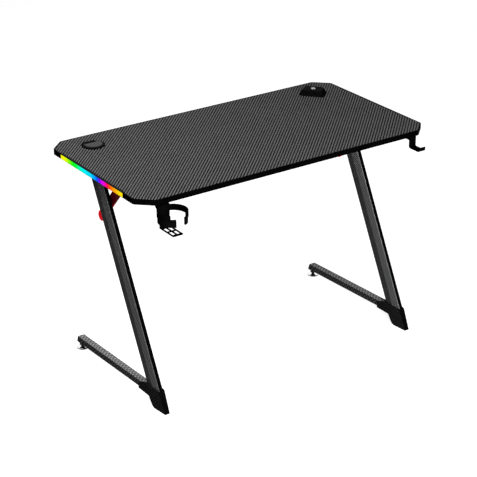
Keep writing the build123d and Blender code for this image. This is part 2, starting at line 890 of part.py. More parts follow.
def ring_sector(inner, outer, start, end, height=0):
    """Face of a ring sector between two angles, in degrees, at a height above the ring's middle."""
    middle = (start + end) / 2
    reach = 2 * outer / cos(radians((end - start) / 2))
    with BuildSketch(ring_plane.offset(height)) as sector:
        Circle(outer)
        Circle(inner, mode=Mode.SUBTRACT)
        spread = [radians(start), radians(middle), radians(end)]
        tips = [(reach * cos(angle), reach * sin(angle)) for angle in spread]
        Polygon((0, 0), *tips, align=None, mode=Mode.INTERSECT)
    return sector.sketch


ring_inner = ring_radius - ring_thickness
gap_face = ring_sector(ring_inner / 2, 2 * ring_radius, -ring_gap_left, -ring_gap_right)
grip_top = ring_height / 2 - grip_top_drop

with BuildPart() as cup_bracket:
    with Locations((cup_plate_x, cup_plate_y, cup_tray_z)):
        Box(
            cup_plate_width,
            cup_plate_thickness,
            board_z - cup_tray_z,
            align=(Align.CENTER, Align.MIN, Align.MIN),
        )
    with Locations((cup_plate_x, cup_plate_back, cup_tray_z)):
        Box(
            cup_plate_width,
            cup_tray_reach,
            cup_plate_thickness,
            align=(Align.CENTER, Align.MAX, Align.MIN),
        )
    with Locations((cup_plate_x, cup_tray_mid_y, cup_tray_z)):
        with GridLocations(cup_window_width + cup_window_rib, cup_window_length + cup_window_rib, 2, 2):
            Box(cup_window_width, cup_window_length, 3 * cup_plate_thickness, mode=Mode.SUBTRACT)
    with Locations((cup_plate_x, cup_plate_y, board_z)):
        Box(
            cup_plate_width,
            cup_flange_depth,
            cup_plate_thickness,
            align=(Align.CENTER, Align.MIN, Align.MAX),
        )
    for gusset_side in (-1, 1):
        with BuildSketch(Plane.YZ.offset(cup_plate_x + gusset_side * gusset_x)):
            Polygon(
                (cup_plate_back, board_z - cup_plate_thickness),
                (cup_plate_back + cup_gusset_size, board_z - cup_plate_thickness),
                (cup_plate_back, board_z - cup_plate_thickness - cup_gusset_size),
                align=None,
            )
        extrude(amount=cup_gusset_thickness / 2, both=True)
    with Locations(*[(px, py, board_z) for px, py in cup_screw_points]):
        Cylinder(screw_radius + hole_clearance, 4 * cup_plate_thickness, mode=Mode.SUBTRACT)
    with Locations(ring_screw_plane(cup_plate_back)):
        Cylinder(ring_screw_radius + hole_clearance, 3 * cup_plate_thickness, mode=Mode.SUBTRACT)
save(cup_bracket.part, "cup_bracket")

with BuildPart() as cup_ring:
    with BuildSketch(ring_plane):
        Circle(ring_radius)
    extrude(amount=ring_height / 2, both=True)
    with Locations((ring_x, cup_plate_y, lug_z)):
        Box(
            ring_lug_width,
            ring_lug_reach,
            ring_lug_height,
            align=(Align.CENTER, Align.MAX, Align.MIN),
        )
    with BuildSketch(ring_plane):
        Circle(ring_inner)
    extrude(amount=2 * ring_height, both=True, mode=Mode.SUBTRACT)
    extrude(to_extrude=gap_face, amount=ring_height, both=True, mode=Mode.SUBTRACT)
    with Locations(ring_screw_plane(cup_plate_y)):
        Cylinder(
            ring_screw_radius + thread_clearance,
            ring_screw_length - cup_plate_thickness,
            align=low,
            mode=Mode.SUBTRACT,
        )
save(cup_ring.part, "cup_ring")

grip_spans = [
    (-ring_gap_right, grip_angle_right - ring_gap_right),
    (-grip_gap_left - grip_angle_left, -grip_gap_left),
]
with BuildPart() as cup_grips:
    for start, end in grip_spans:
        grip_face = ring_sector(
            ring_inner - grip_thickness, ring_radius - grip_outer_inset, start, end, grip_top
        )
        extrude(to_extrude=grip_face, amount=grip_height, dir=(0, 0, -1))
    with BuildSketch(ring_plane):
        Circle(ring_radius + fine_gap)
        Circle(ring_inner - skin_gap, mode=Mode.SUBTRACT)
    extrude(amount=ring_height / 2 + seat_gap, both=True, mode=Mode.SUBTRACT)
save(cup_grips.part, "cup_grips")

with BuildPart() as cup_screws:
    with Locations(*[(px, py, board_z - cup_plate_thickness) for px, py in cup_screw_points]):
        add(make_screw(
            insert_length, screw_radius, screw_head_radius, screw_head_height, screw_socket_size
        ))
save(cup_screws.part, "cup_screws")

with BuildPart() as cup_ring_screw:
    with Locations(ring_screw_plane(cup_plate_back)):
        add(ring_screw)
save(cup_ring_screw.part, "cup_ring_screw")

# ---------------------------------------------------------------- headphone hook
hook_face_y = desk_front_y - hook_set_forward
hook_low_z = board_z - hook_drop
hook_tip_y = hook_face_y - hook_reach

with BuildPart() as headphone_hook:
    with BuildSketch(Plane.YZ.offset(hook_x)):
        with BuildLine():
            FilletPolyline(
                (hook_back_y + hook_base_depth, board_z),
                (hook_face_y, board_z),
                (hook_face_y, hook_low_z + hook_thickness),
                (hook_tip_y + hook_thickness, hook_low_z + hook_thickness),
                (hook_tip_y + hook_thickness, hook_low_z + hook_lip),
                (hook_tip_y, hook_low_z + hook_lip),
                (hook_tip_y, hook_low_z),
                (hook_back_y, hook_low_z),
                (hook_back_y, board_z - hook_base_height),
                (hook_back_y + hook_base_depth, board_z - hook_base_height),
                radius=hook_rounds,
                close=True,
            )
        make_face()
    extrude(amount=hook_width / 2, both=True)
    with Locations(*[(px, py, board_z - hook_base_height) for px, py in hook_screw_points]):
        Cylinder(screw_radius + hole_clearance, hook_base_height, align=low, mode=Mode.SUBTRACT)
        Cylinder(
            screw_head_radius + hole_clearance,
            screw_head_height + fine_gap,
            align=low,
            mode=Mode.SUBTRACT,
        )
save(headphone_hook.part, "headphone_hook")

with BuildPart() as hook_screws:
    hook_seat_z = board_z - hook_base_height + screw_head_height + fine_gap
    with Locations(*[(px, py, hook_seat_z) for px, py in hook_screw_points]):
        add(make_screw(
            insert_length + hook_base_height / 4,
            screw_radius,
            screw_head_radius,
            screw_head_height,
            screw_socket_size,
        ))
save(hook_screws.part, "hook_screws")

# ---------------------------------------------------------------- cable grommet
grommet_plane = Plane(origin=(grommet_x, desk_y + grommet_y, top_height))
ledge_height = grommet_flange_height - grommet_cap_height + grommet_cap_proud
sleeve_bore = grommet_sleeve_radius - grommet_sleeve_wall
cap_z = top_height + ledge_height + turn_gap

with BuildPart() as grommet_sleeve:
    with BuildSketch(grommet_plane):
        Circle(grommet_flange_radius)
    extrude(amount=grommet_flange_height)
    fillet(grommet_sleeve.edges().sort_by(Axis.Z)[-1], grommet_flange_round)
    with BuildSketch(grommet_plane):
        Circle(grommet_sleeve_radius)
    extrude(amount=-(top_thickness + grommet_sleeve_drop))
    with BuildSketch(grommet_plane.offset(ledge_height)):
        Circle(grommet_cap_radius + fine_gap)
    extrude(amount=grommet_flange_height, mode=Mode.SUBTRACT)
    with BuildSketch(grommet_plane.offset(grommet_flange_height)):
        Circle(sleeve_bore)
    extrude(
        amount=-(grommet_flange_height + top_thickness + grommet_sleeve_drop), mode=Mode.SUBTRACT
    )
save(grommet_sleeve.part, "grommet_sleeve")

with BuildPart() as grommet_cap:
    cap_plane = Plane(origin=(grommet_x, desk_y + grommet_y, cap_z))
    with BuildSketch(cap_plane):
        Circle(grommet_cap_radius)
    extrude(amount=grommet_cap_height)
    fillet(grommet_cap.edges().sort_by(Axis.Z)[-1], grommet_flange_round)
    with BuildSketch(cap_plane):
        Circle(sleeve_bore - turn_gap)
        Circle(sleeve_bore - turn_gap - grommet_skirt_wall, mode=Mode.SUBTRACT)
    extrude(amount=-grommet_skirt_depth)
    with BuildSketch(cap_plane.offset(-2 * grommet_skirt_depth)):
        with Locations((0, grommet_slot_offset)):
            SlotOverall(grommet_slot_length, grommet_slot_width)
    extrude(amount=4 * grommet_skirt_depth, mode=Mode.SUBTRACT)
save(grommet_cap.part, "grommet_cap")

# ---------------------------------------------------------------- hub in the rear right corner
hub_angle = radians(hub_turn)
hub_centre = (hub_x, desk_y + hub_y, top_height)
hub_plane = Plane(origin=hub_centre, x_dir=(cos(hub_angle), sin(hub_angle), 0), z_dir=(0, 0, 1))
hub_flare = (hub_base_depth - hub_top_depth) / 2
hub_inner_top = hub_height - hub_wall
port_z = hub_floor + hub_circuit_lift + hub_circuit_thickness + hub_port_height / 2
port_front_y = -hub_base_depth / 2 + hub_flare * port_z / hub_height + hub_wall
button_foot = hub_height + hub_button_proud - hub_button_height
rim_radius = hub_button_radius + hub_button_rim

with BuildPart() as hub_housing:
    with BuildSketch(hub_plane):
        RectangleRounded(hub_base_length, hub_base_depth, hub_corner)
    with BuildSketch(hub_plane.offset(hub_height)):
        RectangleRounded(hub_top_length, hub_top_depth, hub_top_corner)
    loft()
    fillet(hub_housing.faces().sort_by(Axis.Z)[-1].edges(), hub_edge_round)
    with BuildSketch(hub_plane):
        RectangleRounded(
            hub_base_length - 2 * hub_wall, hub_base_depth - 2 * hub_wall, hub_corner - hub_wall
        )
    with BuildSketch(hub_plane.offset(hub_inner_top)):
        RectangleRounded(
            hub_top_length - hub_wall, hub_top_depth - hub_wall, hub_top_corner - hub_wall
        )
    loft(mode=Mode.SUBTRACT)
    with BuildSketch(hub_plane.offset(hub_inner_top)):
        Circle(hub_button_radius + fine_gap)
    extrude(amount=2 * hub_wall, mode=Mode.SUBTRACT)
    with BuildSketch(hub_plane.offset(hub_height - hub_ring_depth)):
        Circle(hub_ring_radius + hub_ring_width)
        Circle(hub_ring_radius, mode=Mode.SUBTRACT)
    extrude(amount=hub_ring_depth, mode=Mode.SUBTRACT)
    with Locations(hub_plane.offset(port_z)):
        with Locations((0, -hub_base_depth / 2, 0)):
            with GridLocations(hub_port_pitch, 1, 2, 1):
                Box(
                    hub_port_width + 2 * fine_gap,
                    hub_base_depth / 2,
                    hub_port_height + 2 * fine_gap,
                    mode=Mode.SUBTRACT,
                )
save(hub_housing.part, "hub_housing")

with BuildPart() as hub_base:
    with BuildSketch(hub_plane):
        RectangleRounded(
            hub_base_length - 2 * hub_wall - 2 * hub_flare,
            hub_base_depth - 2 * hub_wall - hub_flare / 2,
            hub_corner - hub_wall,
        )
        Circle(hub_neck_radius - hub_neck_wall, mode=Mode.SUBTRACT)
    extrude(amount=hub_floor)
    with BuildSketch(hub_plane):
        Circle(hub_neck_radius)
        Circle(hub_neck_radius - hub_neck_wall, mode=Mode.SUBTRACT)
    extrude(amount=-(top_thickness + hub_neck_drop))
    with BuildSketch(hub_plane.offset(hub_floor)):
        with GridLocations(hub_post_pitch_x, hub_post_pitch_y, 2, 2):
            Circle(hub_post_radius)
    extrude(amount=hub_circuit_lift)
save(hub_base.part, "hub_base")

with BuildPart() as hub_lock_nut:
    with BuildSketch(Plane(origin=(hub_x, desk_y + hub_y, board_z))):
        Circle(hub_nut_radius)
        Circle(hub_neck_radius + turn_gap, mode=Mode.SUBTRACT)
        with PolarLocations(hub_nut_radius, hub_nut_notches):
            Circle(hub_nut_notch_radius, mode=Mode.SUBTRACT)
    extrude(amount=-hub_nut_height)
save(hub_lock_nut.part, "hub_lock_nut")

circuit_z = hub_floor + hub_circuit_lift
with BuildPart() as hub_circuit:
    with BuildSketch(hub_plane.offset(circuit_z)):
        Rectangle(hub_circuit_length, hub_circuit_depth)
    extrude(amount=hub_circuit_thickness)
    switch_height = button_foot - hub_button_travel - fine_gap - circuit_z - hub_circuit_thickness
    with BuildSketch(hub_plane.offset(circuit_z + hub_circuit_thickness)):
        Rectangle(hub_switch_size, hub_switch_size)
    extrude(amount=switch_height)
save(hub_circuit.part, "hub_circuit")

with BuildPart() as hub_ports:
    with Locations(hub_plane.offset(port_z)):
        with Locations((0, port_front_y, 0)):
            with GridLocations(hub_port_pitch, 1, 2, 1):
                Box(
                    hub_port_width,
                    hub_port_depth,
                    hub_port_height,
                    align=(Align.CENTER, Align.MIN, Align.CENTER),
                )
                Box(
                    hub_port_width - 2 * hub_port_wall,
                    hub_port_depth - hub_port_wall,
                    hub_port_height - 2 * hub_port_wall,
                    align=(Align.CENTER, Align.MIN, Align.CENTER),
                    mode=Mode.SUBTRACT,
                )
        with Locations((0, port_front_y + hub_port_depth, hub_tongue_thickness / 2)):
            with GridLocations(hub_port_pitch, 1, 2, 1):
                Box(
                    hub_port_width - 2 * hub_tongue_side_gap,
                    hub_tongue_length,
                    hub_tongue_thickness,
                    align=(Align.CENTER, Align.MAX, Align.CENTER),
                )
save(hub_ports.part, "hub_ports")

with BuildPart() as hub_button:
    with BuildSketch(hub_plane.offset(button_foot)):
        Circle(hub_button_radius)
    extrude(amount=hub_button_height)
    fillet(hub_button.edges().sort_by(Axis.Z)[-1], hub_edge_round / 2)
    with BuildSketch(hub_plane.offset(hub_inner_top - fine_gap)):
        Circle(rim_radius)
    extrude(amount=-hub_button_rim)
save(hub_button.part, "hub_button")

# ---------------------------------------------------------------- lighting controller
controller_low_z = board_z - controller_height
controller_mid_z = board_z - controller_wall - (controller_height - controller_wall) / 2
controller_front_y = desk_y + controller_y - controller_depth / 2
button_x = controller_x - controller_length / 4
jack_x = controller_x + controller_length / 4


def front_hole_plane(x, y):
    """Upright plane on the controller at x and y, its normal pointing to the user."""
    return Plane(origin=(x, y, controller_mid_z), x_dir=(1, 0, 0), z_dir=(0, -1, 0))


with BuildPart() as controller_lid:
    with BuildSketch(Plane(origin=(controller_x, desk_y + controller_y, board_z))):
        RectangleRounded(controller_length + 2 * controller_ear, controller_ear, controller_round)
        RectangleRounded(controller_length, controller_depth, controller_round)
    extrude(amount=-controller_wall)
    with Locations(*[(px, py, board_z) for px, py in controller_screw_points]):
        Cylinder(wood_screw_radius + hole_clearance, 4 * controller_wall, mode=Mode.SUBTRACT)
save(controller_lid.part, "controller_lid")

with BuildPart() as controller_case:
    with BuildSketch(Plane(origin=(controller_x, desk_y + controller_y, controller_low_z))):
        RectangleRounded(controller_length, controller_depth, controller_round)
    extrude(amount=controller_height - controller_wall)
    fillet(controller_case.faces().sort_by(Axis.Z)[0].edges(), controller_wall / 2)
    with BuildSketch(
        Plane(origin=(controller_x, desk_y + controller_y, controller_low_z + controller_wall))
    ):
        RectangleRounded(
            controller_length - 2 * controller_wall,
            controller_depth - 2 * controller_wall,
            controller_round - controller_wall,
        )
    extrude(amount=controller_height, mode=Mode.SUBTRACT)
    for hole_x, hole_radius in (
        (button_x, controller_button_radius + fine_gap),
        (jack_x, controller_jack_radius + controller_jack_wall + fine_gap),
    ):
        with Locations(front_hole_plane(hole_x, controller_front_y)):
            Cylinder(hole_radius, 4 * controller_wall, mode=Mode.SUBTRACT)
save(controller_case.part, "controller_case")

with BuildPart() as controller_circuit:
    circuit_low_z = controller_low_z + controller_wall
    with BuildSketch(Plane(origin=(controller_x, desk_y + controller_y, circuit_low_z))):
        RectangleRounded(
            controller_length - 2 * controller_wall - 2 * skin_gap,
            controller_depth - 2 * controller_wall - 2 * skin_gap,
            controller_round - controller_wall,
        )
    extrude(amount=controller_circuit_thickness)
    switch_y = (
        controller_front_y - controller_button_proud + controller_button_length
        + controller_button_travel + fine_gap
    )
    with Locations((button_x, switch_y, circuit_low_z)):
        Box(
            controller_switch_size,
            controller_switch_size,
            controller_mid_z - circuit_low_z + controller_switch_size / 2,
            align=(Align.CENTER, Align.MIN, Align.MIN),
        )
save(controller_circuit.part, "controller_circuit")

with BuildPart() as controller_jack:
    with Locations(front_hole_plane(jack_x, controller_front_y)):
        jack_radius = controller_jack_radius + controller_jack_wall
        Cylinder(jack_radius, controller_jack_length, align=high)
        Cylinder(
            controller_jack_radius,
            controller_jack_length - controller_jack_wall,
            align=high,
            mode=Mode.SUBTRACT,
        )
        Cylinder(controller_pin_radius, controller_jack_length, align=high)
save(controller_jack.part, "controller_jack")

with BuildPart() as controller_button:
    with Locations(front_hole_plane(button_x, controller_front_y - controller_button_proud)):
        Cylinder(controller_button_radius, controller_button_length, align=high)
    with Locations(front_hole_plane(button_x, controller_front_y + controller_wall + fine_gap)):
        Cylinder(controller_button_radius + controller_wall / 2, controller_wall / 2, align=high)
save(controller_button.part, "controller_button")

with BuildPart() as controller_screws:
    with Locations(*[(px, py, board_z - controller_wall) for px, py in controller_screw_points]):
        add(wood_screw)
save(controller_screws.part, "controller_screws")
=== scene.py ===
from math import atan2, pi, radians

import bpy
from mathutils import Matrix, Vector


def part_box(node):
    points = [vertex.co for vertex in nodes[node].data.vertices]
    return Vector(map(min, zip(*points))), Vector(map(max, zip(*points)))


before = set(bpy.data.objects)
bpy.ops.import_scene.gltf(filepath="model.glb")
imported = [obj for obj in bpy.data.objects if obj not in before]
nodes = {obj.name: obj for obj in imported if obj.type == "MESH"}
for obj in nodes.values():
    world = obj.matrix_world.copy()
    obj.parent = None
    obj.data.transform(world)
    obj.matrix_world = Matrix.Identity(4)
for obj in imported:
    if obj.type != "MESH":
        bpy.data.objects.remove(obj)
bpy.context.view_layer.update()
scene = bpy.context.scene

# ---------------------------------------------------------------- sizes and places (metres)
MM = 0.001
board_low, board_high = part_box("desktop_board")
desk_middle = (board_low + board_high) / 2
light_low, light_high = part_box("led_diffuser_left")
light_middle = (light_low.y + light_high.y) / 2
light_pitch = 16 * MM
strut_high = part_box("strut_left")[1]
# Heights on the strut between which its colour fades from painted shade under the desk top to plain
# red.
painted_shade_end, unshaded_start = strut_high.z - 75 * MM, strut_high.z - 115 * MM
cap_low, cap_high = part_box("grommet_cap")
disc_top_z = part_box("levelling_pad_left")[1].z + 3.0 * MM

# Lean of the columns and slope of the foot rails, as turns about X.
column_lean = atan2(0.514, 1)
rail_slope = atan2(0.044, 1)

# Width of one tow of the weave.
board_tow = 3.19 * MM
column_tow = 2.4 * MM
rail_tow = 4.2 * MM

# The camera looks down and to the right; angles in degrees, lens and sensor in millimetres.
camera_place = (-2.7751, -3.9349, 2.6249)
camera_pitch = 90 - 24.863
camera_turn = -34.743
camera_lens = 118.23
sensor_width = 36

floor_size = 24
floor_drop = 0.2 * MM
floor_glow = 0.87
world_light = 0.16


# ---------------------------------------------------------------- shader node helpers
def put(tree, kind, **settings):
    """Add a shader node and set its plain properties."""
    made = tree.nodes.new(kind)
    for key, value in settings.items():
        setattr(made, key, value)
    return made


def join(tree, source, target):
    tree.links.new(source, target)


def feed(tree, value, target):
    """Give a socket a number, a colour or the output of another node."""
    if isinstance(value, (int, float)):
        target.default_value = value
    elif isinstance(value, tuple):
        target.default_value = (*value, 1)
    else:
        join(tree, value, target)


def calc(tree, operation, first, second=None, third=None, clamp=False):
    """Add a Math node; each input is a number or a socket. Returns its output."""
    made = put(tree, "ShaderNodeMath", operation=operation, use_clamp=clamp)
    for socket, value in zip(made.inputs, (first, second, third)):
        if value is not None:
            feed(tree, value, socket)
    return made.outputs[0]


def blend(tree, kind, sockets, values):
    """Add a Mix node for one kind of value, at the sockets that this kind uses."""
    made = put(tree, "ShaderNodeMix", data_type=kind, clamp_factor=True)
    for index, value in zip(sockets, values):
        feed(tree, value, made.inputs[index])
    return made


def blend_colours(tree, mask, first, second):
    """Mix two colours by a mask; each is a tuple or a socket."""
    return blend(tree, "RGBA", (0, 6, 7), (mask, first, second)).outputs[2]


def blend_values(tree, mask, first, second):
    """Mix two numbers by a mask."""
    return blend(tree, "FLOAT", (0, 2, 3), (mask, first, second)).outputs[0]


def remap(tree, value, low, high, to_low=0.0, to_high=1.0):
    """Stretch a value from one span to another, held at both ends."""
    made = put(tree, "ShaderNodeMapRange", clamp=True)
    join(tree, value, made.inputs[0])
    for socket, number in zip(made.inputs[1:5], (low, high, to_low, to_high)):
        socket.default_value = number
    return made.outputs[0]


def noise(tree, vector, scale, detail=2.0, roughness=0.5):
    made = put(tree, "ShaderNodeTexNoise")
    made.inputs["Scale"].default_value = scale
    made.inputs["Detail"].default_value = detail
    made.inputs["Roughness"].default_value = roughness
    join(tree, vector, made.inputs["Vector"])
    return made.outputs["Fac"]


def place_anew(tree, vector, scale=(1, 1, 1), turn=(0, 0, 0)):
    """Stretch and turn coordinates."""
    made = put(tree, "ShaderNodeMapping")
    made.inputs["Scale"].default_value = scale
    made.inputs["Rotation"].default_value = turn
    join(tree, vector, made.inputs["Vector"])
    return made.outputs[0]


def split(tree, vector):
    """The X, Y and Z of a vector."""
    made = put(tree, "ShaderNodeSeparateXYZ")
    join(tree, vector, made.inputs[0])
    return made.outputs


def flat_place(tree, across, along):
    """Two numbers as the X and Y of a vector."""
    made = put(tree, "ShaderNodeCombineXYZ")
    join(tree, across, made.inputs["X"])
    join(tree, along, made.inputs["Y"])
    return made.outputs[0]


def scale_colour(tree, colour, amount):
    made = put(tree, "ShaderNodeVectorMath", operation="SCALE")
    join(tree, colour, made.inputs[0])
    join(tree, amount, made.inputs["Scale"])
    return made.outputs[0]


def either_way(tree, value, least):
    """1 where a value is further from zero than the least, on either side."""
    return calc(tree, "GREATER_THAN", calc(tree, "ABSOLUTE", value), least)


VECTOR = "NodeSocketVector"
NUMBER = "NodeSocketFloat"
PLACE_INPUT = ("Vector", VECTOR, None)


def new_group(name, inputs, outputs):
    """Start a shader node group with named sockets; returns the tree and its two ends."""
    tree = bpy.data.node_groups.new(name, "ShaderNodeTree")
    for label, kind, value in inputs:
        socket = tree.interface.new_socket(label, in_out="INPUT", socket_type=kind)
        if value is not None:
            socket.default_value = value
    for label, kind in outputs:
        tree.interface.new_socket(label, in_out="OUTPUT", socket_type=kind)
    return tree, put(tree, "NodeGroupInput").outputs, put(tree, "NodeGroupOutput").inputs


# ---------------------------------------------------------------- shared effects
def make_face_plane():
    """Flat coordinates that suit a face: Y and Z on a side, X and Y on top, X and Z in front."""
    tree, given, result = new_group(
        "face_plane", [PLACE_INPUT, ("Normal", VECTOR, None)], [("Plane", VECTOR)]
    )
    place = split(tree, given["Vector"])
    facing = split(tree, given["Normal"])
    on_side = either_way(tree, facing["X"], 0.6)
    on_top = either_way(tree, facing["Z"], 0.7)
    across = blend_values(tree, on_side, place["X"], place["Y"])
    along = blend_values(tree, on_top, place["Z"], place["Y"])
    join(tree, flat_place(tree, across, along), result["Plane"])
    return tree


def make_carbon_twill():
    """Two-over-two twill of flat tows.

    Gives a mask of the warp on top, the height of the tows, their fibre streaks, and a change
    of tone that crosses the twill lines.
    """
    tree, given, result = new_group(
        "carbon_twill",
        [PLACE_INPUT, ("Tow", NUMBER, board_tow)],
        [("Warp", NUMBER), ("Height", NUMBER), ("Fibre", NUMBER), ("Cross", NUMBER)],
    )
    repeat = 4
    place = split(tree, given["Vector"])
    across = calc(tree, "DIVIDE", place["X"], given["Tow"])
    along = calc(tree, "DIVIDE", place["Y"], given["Tow"])
    column = calc(tree, "FLOOR", across)
    row = calc(tree, "FLOOR", along)
    step = calc(tree, "FLOORED_MODULO", calc(tree, "SUBTRACT", column, row), repeat)
    warp_on_top = calc(tree, "LESS_THAN", step, 1.5)

    def crown(share):
        """A round hump over a share that runs from 0 to 1."""
        rest = calc(tree, "SUBTRACT", 1, share)
        return calc(tree, "MULTIPLY", calc(tree, "MULTIPLY", share, 4), rest)

    def crown_along(steps, shift):
        """The hump along a tow, which stays on top for half of each repeat."""
        run = calc(tree, "FLOORED_MODULO", calc(tree, "ADD", steps, shift), repeat)
        return crown(calc(tree, "MULTIPLY", run, 2 / repeat, clamp=True))

    warp_width = crown(calc(tree, "FRACT", across))
    weft_width = crown(calc(tree, "FRACT", along))
    warp_length = crown_along(calc(tree, "SUBTRACT", column, along), 1)
    weft_length = crown_along(calc(tree, "SUBTRACT", across, row), -2)
    width = blend_values(tree, warp_on_top, weft_width, warp_width)
    length = blend_values(tree, warp_on_top, weft_length, warp_length)
    height = calc(tree, "MULTIPLY", width, calc(tree, "MULTIPLY_ADD", length, 0.45, 0.55))

    # Fibres are noise that is fine across a tow and long along it.
    fine, long = 2600, 90
    warp_fibre = noise(tree, place_anew(tree, given["Vector"], (fine, long, 1)), 1)
    weft_fibre = noise(tree, place_anew(tree, given["Vector"], (long, fine, 1)), 1)

    slant = calc(tree, "MULTIPLY", calc(tree, "ADD", across, along), 2 * pi / repeat)
    cross_depth = 0.42
    cross = calc(tree, "MULTIPLY_ADD", calc(tree, "COSINE", slant), cross_depth, 1.0)

    join(tree, warp_on_top, result["Warp"])
    join(tree, height, result["Height"])
    join(tree, blend_values(tree, warp_on_top, weft_fibre, warp_fibre), result["Fibre"])
    join(tree, cross, result["Cross"])
    return tree


def make_fine_grain():
    """Pebbled skin of powder coat and moulded plastic: its height and a patchy gloss."""
    tree, given, result = new_group(
        "fine_grain",
        [PLACE_INPUT, ("Grain", NUMBER, 1400.0)],
        [("Height", NUMBER), ("Patch", NUMBER)],
    )
    pebble = put(tree, "ShaderNodeTexVoronoi", feature="SMOOTH_F1")
    join(tree, given["Vector"], pebble.inputs["Vector"])
    join(tree, given["Grain"], pebble.inputs["Scale"])
    soft = noise(tree, given["Vector"], 620, 3)
    height = calc(tree, "MULTIPLY_ADD", pebble.outputs["Distance"], 0.6, soft)
    join(tree, height, result["Height"])
    join(tree, noise(tree, given["Vector"], 14, 4, 0.62), result["Patch"])
    return tree


def make_edge_wear_and_highlight():
    """Mask of edges, for rubbed wear on most parts and a painted highlight on the leg flanks, and a
    normal that rounds the sharp ones.
    """
    tree, given, result = new_group(
        "edge_wear_and_highlight",
        [PLACE_INPUT, ("Reach", NUMBER, 0.8 * MM)],
        [("Mask", NUMBER), ("Normal", VECTOR)],
    )
    rounded = put(tree, "ShaderNodeBevel", samples=6)
    join(tree, given["Reach"], rounded.inputs["Radius"])
    facing = put(tree, "ShaderNodeNewGeometry")
    sameness = put(tree, "ShaderNodeVectorMath", operation="DOT_PRODUCT")
    join(tree, rounded.outputs[0], sameness.inputs[0])
    join(tree, facing.outputs["Normal"], sameness.inputs[1])
    edge = remap(tree, sameness.outputs["Value"], 0.995, 0.86)
    broken = remap(tree, noise(tree, given["Vector"], 160, 4, 0.7), 0.32, 0.68, 0.25, 1.0)
    join(tree, calc(tree, "MULTIPLY", edge, broken), result["Mask"])
    join(tree, rounded.outputs[0], result["Normal"])
    return tree


def make_dust_film():
    """Mask of a thin film of dust, thicker on faces that look up."""
    tree, given, result = new_group(
        "dust_film", [PLACE_INPUT, ("Amount", NUMBER, 0.1)], [("Mask", NUMBER)]
    )
    facing = put(tree, "ShaderNodeNewGeometry")
    upward = remap(tree, split(tree, facing.outputs["Normal"])["Z"], -0.1, 1.0, 0.25, 1.0)
    speck = remap(tree, noise(tree, given["Vector"], 900, 2, 0.7), 0.56, 0.78)
    cloud = remap(tree, noise(tree, given["Vector"], 9, 3, 0.6), 0.35, 0.75)
    film = calc(tree, "MULTIPLY", calc(tree, "MULTIPLY_ADD", speck, 0.6, cloud), upward)
    join(tree, calc(tree, "MULTIPLY", film, given["Amount"]), result["Mask"])
    return tree


face_plane = make_face_plane()
carbon_twill = make_carbon_twill()
fine_grain = make_fine_grain()
edge_wear_and_highlight = make_edge_wear_and_highlight()
dust_film = make_dust_film()


# ---------------------------------------------------------------- material helpers
DUST_TINT = (0.3, 0.29, 0.28)
NOISE_SPAN = (0.3, 0.7)


def grey(level):
    """A grey that is a trace cooler than neutral."""
    return level, level, level * 1.02


class Finish:
    """One material: its tree, its Principled shader and the coordinates of its effects."""

    def __init__(self, name, roughness=0.5, specular=0.5, metallic=0.0):
        self.material = bpy.data.materials.new(name)
        self.material.use_nodes = True
        self.tree = self.material.node_tree
        self.shader = self.tree.nodes["Principled BSDF"]
        self.shader.inputs["Roughness"].default_value = roughness
        self.shader.inputs["Specular IOR Level"].default_value = specular
        self.shader.inputs["Metallic"].default_value = metallic
        self.place = put(self.tree, "ShaderNodeTexCoord").outputs["Object"]
        self.facing = put(self.tree, "ShaderNodeNewGeometry").outputs["Normal"]

    def effect(self, group, vector=None, **values):
        """Place a shared effect on the object's own coordinates, with its own values."""
        made = put(self.tree, "ShaderNodeGroup", node_tree=group)
        join(self.tree, vector or self.place, made.inputs["Vector"])
        for name, value in values.items():
            feed(self.tree, value, made.inputs[name])
        return made.outputs

    def facing_share(self, axis):
        """How much a face looks along an axis of the desk, from -1 to 1."""
        return split(self.tree, self.facing)[axis]

    def faces(self, axis, least):
        """Mask of the faces that look along an axis, either way."""
        return either_way(self.tree, self.facing_share(axis), least)

    def colour(self, source, dust=0.0):
        """Base colour from a socket, under a film of dust."""
        if dust:
            mask = self.effect(dust_film, Amount=dust)["Mask"]
            source = blend_colours(self.tree, mask, source, DUST_TINT)
        join(self.tree, source, self.shader.inputs["Base Color"])

    def gloss(self, source, smooth, rough, span=NOISE_SPAN):
        """Roughness that follows a patchy value."""
        roughness = remap(self.tree, source, *span, smooth, rough)
        join(self.tree, roughness, self.shader.inputs["Roughness"])

    def relief(self, height, depth, strength, normal=None):
        bump = put(self.tree, "ShaderNodeBump")
        bump.inputs["Distance"].default_value = depth
        bump.inputs["Strength"].default_value = strength
        join(self.tree, height, bump.inputs["Height"])
        if normal is not None:
            join(self.tree, normal, bump.inputs["Normal"])
        join(self.tree, bump.outputs[0], self.shader.inputs["Normal"])


def carbon_colours(finish, plane, dark, light, streak=0.35, tow=board_tow):
    """Colour and outputs of a twill between two tones, with fibre streaks and dark gaps."""
    weave = finish.effect(carbon_twill, plane, Tow=tow)
    tree = finish.tree
    tone = blend_colours(tree, weave["Warp"], dark, light)
    streaks = remap(tree, weave["Fibre"], 0.25, 0.75, 1 - streak, 1 + streak)
    gaps = remap(tree, weave["Height"], 0.0, 0.6, 0.05, 1.28)
    shade = calc(tree, "MULTIPLY", calc(tree, "MULTIPLY", streaks, gaps), weave["Cross"])
    return scale_colour(tree, tone, shade), weave


